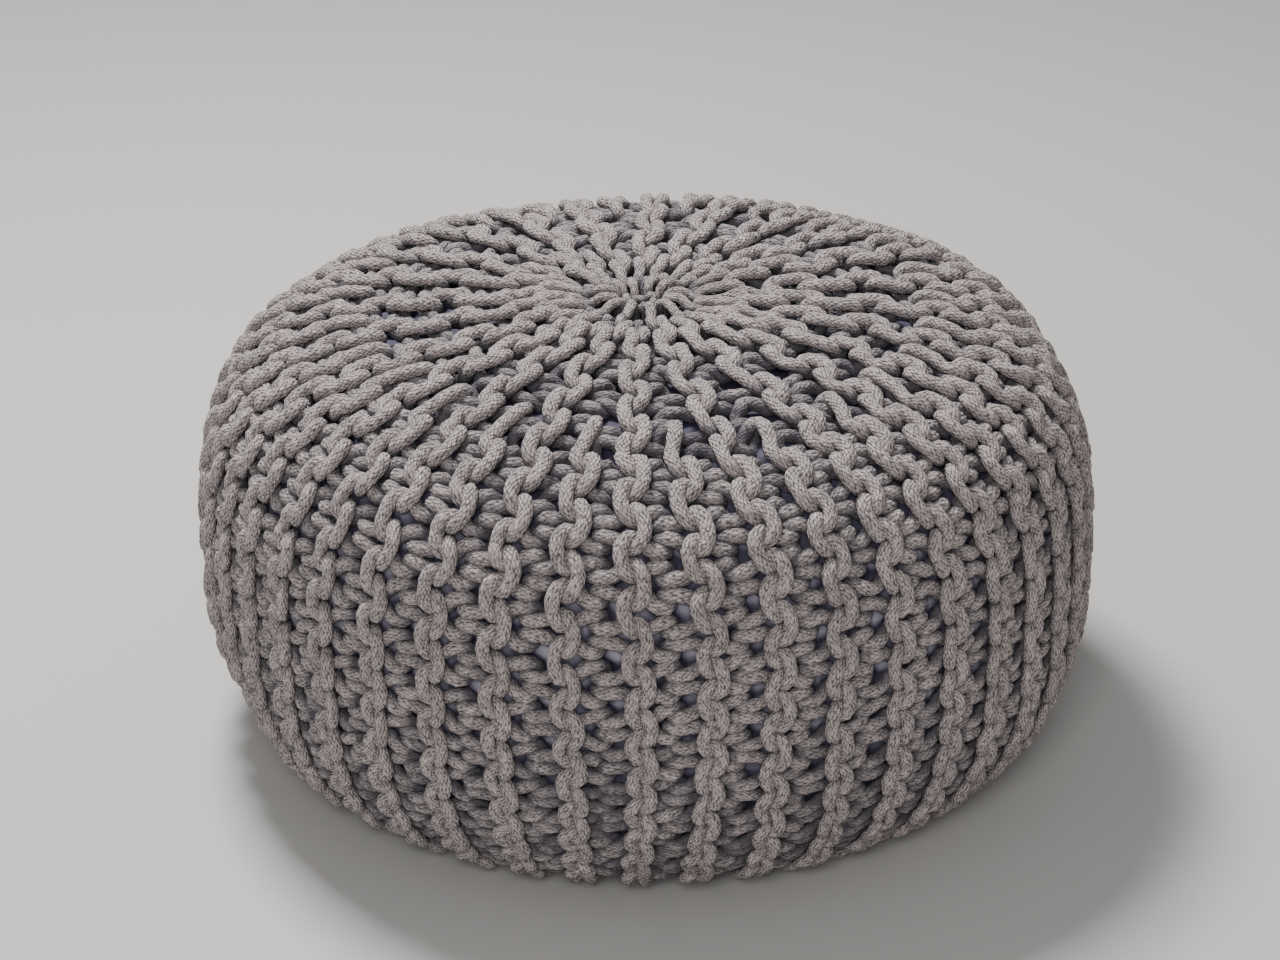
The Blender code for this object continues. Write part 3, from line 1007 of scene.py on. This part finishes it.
def braid_group():
    """Height and fleck of a braided cord, from a map of metres along and turns round."""
    inputs = [("Vector", "Cord Map"), ("Vector", "Place")]
    inputs += [("Float", "Strands"), ("Float", "Repeat"), ("Float", "Unevenness")]
    group, given, wanted = new_group("braid", inputs, [("Float", "Height"), ("Float", "Fibre")])
    along, turns, _ = add_node(group, "SeparateXYZ", {0: given["Cord Map"]})
    uneven = add_noise(group, given["Place"], given["Unevenness"], 1.0)
    slip = add_math(group, "MULTIPLY", add_math(group, "SUBTRACT", uneven, 0.5), STRAND_SLIP)
    forward = add_math(group, "DIVIDE", add_math(group, "ADD", along, slip), given["Repeat"])
    round_it = add_math(group, "MULTIPLY", turns, given["Strands"])
    left = add_math(group, "ADD", round_it, forward)
    right = add_math(group, "SUBTRACT", round_it, forward)
    angles = [add_math(group, "MULTIPLY", way, math.pi) for way in (left, right)]
    waves = [add_math(group, "SINE", angle) for angle in angles]
    left_on_top = add_ramp(group, add_math(group, "MULTIPLY", *waves), -CROSSING_EDGE, CROSSING_EDGE)
    right_on_top = add_math(group, "SUBTRACT", 1.0, left_on_top)
    left_size, right_size = (add_math(group, "ABSOLUTE", wave) for wave in waves)
    families = (
        (left_size, right_size, left_on_top, FIBRES_ACROSS, FIBRES_ALONG, 0.0),
        (right_size, left_size, right_on_top, FIBRES_ALONG, FIBRES_ACROSS, OTHER_FIBRES),
    )
    heights, fibres = [], []
    for own, other, on_top, left_scale, right_scale, apart in families:
        strand = add_math(group, "POWER", own, STRAND_ROUND)
        strand = add_math(group, "MULTIPLY", strand, add_math(group, "POWER", other, STRAND_TAPER))
        heights.append(add_math(group, "MULTIPLY", strand, on_top))
        x = add_math(group, "MULTIPLY", left, left_scale)
        y = add_math(group, "MULTIPLY", right, right_scale)
        fine = add_noise(group, add_node(group, "CombineXYZ", {0: x, 1: y, 2: apart})[0], 1.0)
        fibres.append(add_math(group, "MULTIPLY", fine, on_top))
    group.links.new(add_math(group, "ADD", *heights), wanted["Height"])
    group.links.new(add_math(group, "ADD", *fibres), wanted["Fibre"])
    return group


BRAID = braid_group()
print("group", BRAID.name, "has", len(BRAID.nodes), "nodes")

# %% [markdown]
# Cords and cloth are given painted shade: their colour is darkened deep between the cords,
# where shade falls. Every vertex of the cords and of the bag carries its depth under the form,
# so one group turns this depth into the share that stays free of painted shade. Both materials
# use it, each with its own two depths.

# %% Painted shade as a group
def painted_shade_group():
    """1 near the outside of the pouf, 0 deep between the cords."""
    inputs = [("Float", "Depth"), ("Float", "Faded Depth"), ("Float", "Fresh Depth")]
    group, given, wanted = new_group("painted_shade_by_depth", inputs, [("Float", "Unshaded")])
    faded = add_ramp(group, given["Depth"], given["Faded Depth"], given["Fresh Depth"], 1.0, 0.0)
    group.links.new(faded, wanted["Unshaded"])
    return group


def add_painted_shade(tree, faded_depth, fresh_depth):
    """The painted shade group, fed with the depth that each vertex carries."""
    depth = add_node(tree, "Attribute", {}, attribute_name="Depth")["Fac"]
    placed = add_group(tree, PAINTED_SHADE, depth=depth, faded_depth=faded_depth, fresh_depth=fresh_depth)
    return placed["Unshaded"]


PAINTED_SHADE = painted_shade_group()
print("group", PAINTED_SHADE.name, "has", len(PAINTED_SHADE.nodes), "nodes")

# %% [markdown]
# The cotton is heathered: light and middling fibres lie side by side, with dark flecks
# among them. The ragged pits between the strands are dark with painted shade. All of it is
# noise on the object's own coordinates, so that no seam shows. The same noises lift the bump,
# and smooth fibres are a little less matt than fibre ends.

# %% Cotton cord
# the first colour below is painted shade for the pits between the braid strands
CORD_PIT_SHADE = (0.040, 0.030, 0.036, 1)
CORD_MIDDLE = (0.250, 0.203, 0.197, 1)
CORD_LIGHT = (0.802, 0.677, 0.656, 1)
CORD_FLECK = (0.120, 0.086, 0.076, 1)
PAINTED_SHADE_TINT = (0.15, 0.135, 0.20, 1)  # painted shade: the colour is multiplied by this deep between the cords
NO_TINT = (1.0, 1.0, 1.0, 1)
CORD_SHADE_FROM_DEPTH, CORD_FULL_SHADE_DEPTH = 0.0042, 0.0098
CORD_ROUGHNESS = (0.97, 0.88)  # of matt fibre ends and of smooth fibres
BRAID_STRANDS = 10
BRAID_UNEVENNESS = 130.0
HEATHER = (430.0, 4.0, 0.74)  # scale, detail and roughness of each noise
SPECKS = (540.0, 3.0, 0.7)
FUZZ = (1300.0, 2.0, 0.7)
PATCHES = (38.0, 2.0)
TONE_OF_HEATHER, TONE_OF_FIBRE = 0.6, 0.4
TONE_RANGE = (0.34, 0.66)
SPECK_RANGE, SPECK_STRENGTH = (0.56, 0.66), 0.85
PIT_RANGE, PIT_RAGGED = (0.02, 0.60), 3.0
PATCH_RANGE, PATCH_SHADES = (0.3, 0.7), (0.88, 1.06)
BUMP_OF_FIBRE, BUMP_OF_FUZZ, BUMP_OF_HEATHER = 0.5, 0.35, 0.8
CORD_BUMP_STRENGTH, CORD_BUMP_DISTANCE = 1.0, 0.0017
SHEEN, SHEEN_ROUGHNESS = 0.25, 0.6


def cord_material(name):
    """Braided cotton with flecks, fuzz, and painted shade in the pits and deep between the cords."""
    material, tree, shader = new_material(name)
    place = add_place(tree)
    braid = add_group(
        tree,
        BRAID,
        cord_map=add_map(tree, "Braid"),
        place=place,
        strands=BRAID_STRANDS,
        repeat=BRAID_REPEAT,
        unevenness=BRAID_UNEVENNESS,
    )
    kinds = (HEATHER, SPECKS, FUZZ, PATCHES)
    heather, specks, fuzz, patches = (add_noise(tree, place, *kind) for kind in kinds)
    tone = add_math(tree, "MULTIPLY", heather, TONE_OF_HEATHER)
    tone = add_sum(tree, tone, (braid["Fibre"], TONE_OF_FIBRE))
    colour = add_mix(tree, add_ramp(tree, tone, *TONE_RANGE), CORD_MIDDLE, CORD_LIGHT)
    flecked = add_ramp(tree, specks, *SPECK_RANGE, 0.0, SPECK_STRENGTH)
    colour = add_mix(tree, flecked, colour, CORD_FLECK)
    ragged = add_math(tree, "SUBTRACT", heather, 0.5)
    strand = add_sum(tree, braid["Height"], (ragged, PIT_RAGGED))
    # painted shade in the pits between the braid strands, where the braid's height is low
    colour = add_mix(tree, add_ramp(tree, strand, *PIT_RANGE), CORD_PIT_SHADE, colour)
    colour = add_product(tree, colour, add_ramp(tree, patches, *PATCH_RANGE, *PATCH_SHADES))
    # painted shade: the deeper a vertex lies between the cords, the darker its colour
    faded = add_painted_shade(tree, CORD_SHADE_FROM_DEPTH, CORD_FULL_SHADE_DEPTH)
    colour = add_product(tree, colour, add_mix(tree, faded, PAINTED_SHADE_TINT, NO_TINT))
    tree.links.new(colour, shader.inputs["Base Color"])
    tree.links.new(add_ramp(tree, tone, *TONE_RANGE, *CORD_ROUGHNESS), shader.inputs["Roughness"])
    rough = ((braid["Fibre"], BUMP_OF_FIBRE), (fuzz, BUMP_OF_FUZZ), (heather, BUMP_OF_HEATHER))
    height = add_sum(tree, braid["Height"], *rough)
    bump = add_bump(tree, height, CORD_BUMP_STRENGTH, CORD_BUMP_DISTANCE)
    tree.links.new(bump, shader.inputs["Normal"])
    shader.inputs["Sheen Weight"].default_value = SHEEN
    shader.inputs["Sheen Roughness"].default_value = SHEEN_ROUGHNESS
    return material


CORD_FINISH = cord_material("cotton_cord")
print("material", CORD_FINISH.name, "has", len(CORD_FINISH.node_tree.nodes), "nodes")

# %% [markdown]
# The bag is plain-weave cotton in grey with a violet cast. Its threads cross in a fine
# chequer, which two sine waves on the bag's own map give, and slow noise wears the cloth
# lighter and rougher in places.

# %% Bag cloth
CLOTH_DARK = (0.260, 0.240, 0.305, 1)
CLOTH_LIGHT = (0.400, 0.375, 0.455, 1)
# the next colour is painted shade, which the cloth takes on deep between the cords
CLOTH_PAINTED_SHADE = (0.045, 0.038, 0.075, 1)
CLOTH_SHADE_FROM_DEPTH, CLOTH_FULL_SHADE_DEPTH = 0.0095, 0.0145
CLOTH_ROUGHNESS = (0.54, 0.68)  # of smooth and of worn cloth
THREAD = 0.0011
WORN = (90.0, 3.0)  # scale and detail of the noise
WORN_RANGE = (0.25, 0.8)
TONE_OF_WEAVE = 0.2
CLOTH_BUMP_STRENGTH, CLOTH_BUMP_DISTANCE = 0.4, 0.0003


def cloth_material(name):
    """Plain weave with wear, and painted shade deep between the cords."""
    material, tree, shader = new_material(name)
    across, along, _ = add_node(tree, "SeparateXYZ", {0: add_map(tree, "Weave")})
    threads = [add_math(tree, "MULTIPLY", way, math.tau / THREAD) for way in (across, along)]
    weave = add_math(tree, "MULTIPLY", *[add_math(tree, "SINE", thread) for thread in threads])
    worn = add_noise(tree, add_place(tree), *WORN)
    tone = add_math(tree, "ADD", add_math(tree, "MULTIPLY", weave, TONE_OF_WEAVE), worn)
    colour = add_mix(tree, add_ramp(tree, tone, *WORN_RANGE), CLOTH_DARK, CLOTH_LIGHT)
    # painted shade: the cloth turns to a dark violet the deeper it lies between the cords
    faded = add_painted_shade(tree, CLOTH_SHADE_FROM_DEPTH, CLOTH_FULL_SHADE_DEPTH)
    tree.links.new(add_mix(tree, faded, CLOTH_PAINTED_SHADE, colour), shader.inputs["Base Color"])
    tree.links.new(add_ramp(tree, worn, *WORN_RANGE, *CLOTH_ROUGHNESS), shader.inputs["Roughness"])
    bump = add_bump(tree, weave, CLOTH_BUMP_STRENGTH, CLOTH_BUMP_DISTANCE)
    tree.links.new(bump, shader.inputs["Normal"])
    return material


CLOTH_FINISH = cloth_material("bag_cloth")
print("material", CLOTH_FINISH.name, "has", len(CLOTH_FINISH.node_tree.nodes), "nodes")

# %% [markdown]
# ## Dress the pieces
#
# Each piece gets its finish and is tied to the pouf's one body, and the plain solid that it
# stands for is hidden. The bag is packed with filling.

# %% Tie the pieces to the frame
def dress(piece, material, node):
    piece.data.materials.append(material)
    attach(piece, "root")
    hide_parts(node)


for panel in panels:
    dress(panel, CORD_FINISH, "knit_cover")
dress(top_gather, CORD_FINISH, "gather_cord_top")
dress(base_gather, CORD_FINISH, "gather_cord_base")
dress(bag, CLOTH_FINISH, "inner_bag")
print("dressed:", ", ".join(piece.name for piece in (*panels, top_gather, base_gather, bag)))

# %% [markdown]
# ## Floor, light and camera
#
# The pouf stands on a plain pale floor. A large soft light from behind on the left draws
# the relief of the knitting, a weak one in front keeps the shaded side readable, and even
# light from all round fills the rest.

# %% Floor and light
FLOOR_SIZE = 12.0
FLOOR_COLOUR = (0.50, 0.487, 0.468, 1)
FLOOR_ROUGHNESS = 0.6
AIR_COLOUR = (1.0, 1.0, 1.0, 1)
AIR_STRENGTH = 0.33
LIGHTS = (  # name, place, size and power
    ("key_light", (-0.5, 0.65, 2.0), 0.50, 71),
    ("fill_light", (-0.2, -2.1, 1.4), 0.80, 27),
)
LIGHT_AIM = (0.0, 0.0, 0.15)

bpy.ops.object.select_all(action="DESELECT")
bpy.ops.mesh.primitive_plane_add(size=FLOOR_SIZE, location=(0, 0, 0))
floor = bpy.context.object
floor.name = "studio_floor"
floor_material, _, floor_shader = new_material("pale_floor")
floor_shader.inputs["Base Color"].default_value = FLOOR_COLOUR
floor_shader.inputs["Roughness"].default_value = FLOOR_ROUGHNESS
floor.data.materials.append(floor_material)

world = bpy.data.worlds.new("studio_air")
bpy.context.scene.world = world
world.use_nodes = True
world.node_tree.nodes["Background"].inputs["Color"].default_value = AIR_COLOUR
world.node_tree.nodes["Background"].inputs["Strength"].default_value = AIR_STRENGTH


def turned_to(place, aim):
    """The rotation that points a lamp or a camera from its place to its aim."""
    return (Vector(aim) - Vector(place)).to_track_quat("-Z", "Y").to_euler()


for name, place, size, power in LIGHTS:
    lamp = bpy.data.lights.new(name, "AREA")
    lamp.size = size
    lamp.energy = power
    made = bpy.data.objects.new(name, lamp)
    made.location = place
    made.rotation_euler = turned_to(place, LIGHT_AIM)
    bpy.context.scene.collection.objects.link(made)
    print(name, "is", round(Vector(place).length, 2), "m away and", size, "m wide")

# %% [markdown]
# The camera looks down on the pouf from in front, a little as somebody does who stands
# beside it. Its lens follows from its distance and from how much of the frame the pouf
# should fill, so one can be changed without the other.

# %% Camera
CAMERA_DISTANCE = 7.0 * GIRTH_RADIUS
CAMERA_RISE = math.radians(27.0)
SENSOR_WIDTH = 36.0
GIRTH_SHARE = 0.3452  # half the pouf's width, as a share of the frame's width
AIM_ASIDE = -0.0147  # where it aims, in girth radii from the middle of the girth
AIM_ABOVE = 0.1602
camera_data = bpy.data.cameras.new("camera")
camera = bpy.data.objects.new("camera", camera_data)
bpy.context.scene.collection.objects.link(camera)
bpy.context.scene.camera = camera
camera_data.sensor_width = SENSOR_WIDTH
camera_data.lens = SENSOR_WIDTH * GIRTH_SHARE * CAMERA_DISTANCE / GIRTH_RADIUS
ahead = Vector((0, math.cos(CAMERA_RISE), -math.sin(CAMERA_RISE)))
above = Vector((0, math.sin(CAMERA_RISE), math.cos(CAMERA_RISE)))
girth_middle = Vector((AXIS_X, AXIS_Y, GIRTH_HEIGHT))
camera.location = girth_middle - ahead * CAMERA_DISTANCE
camera_aim = girth_middle + GIRTH_RADIUS * (Vector((AIM_ASIDE, 0, 0)) + AIM_ABOVE * above)
camera.rotation_euler = turned_to(camera.location, camera_aim)
print("the camera is", round(CAMERA_DISTANCE, 2), "m away, its lens", round(camera_data.lens, 1), "mm")
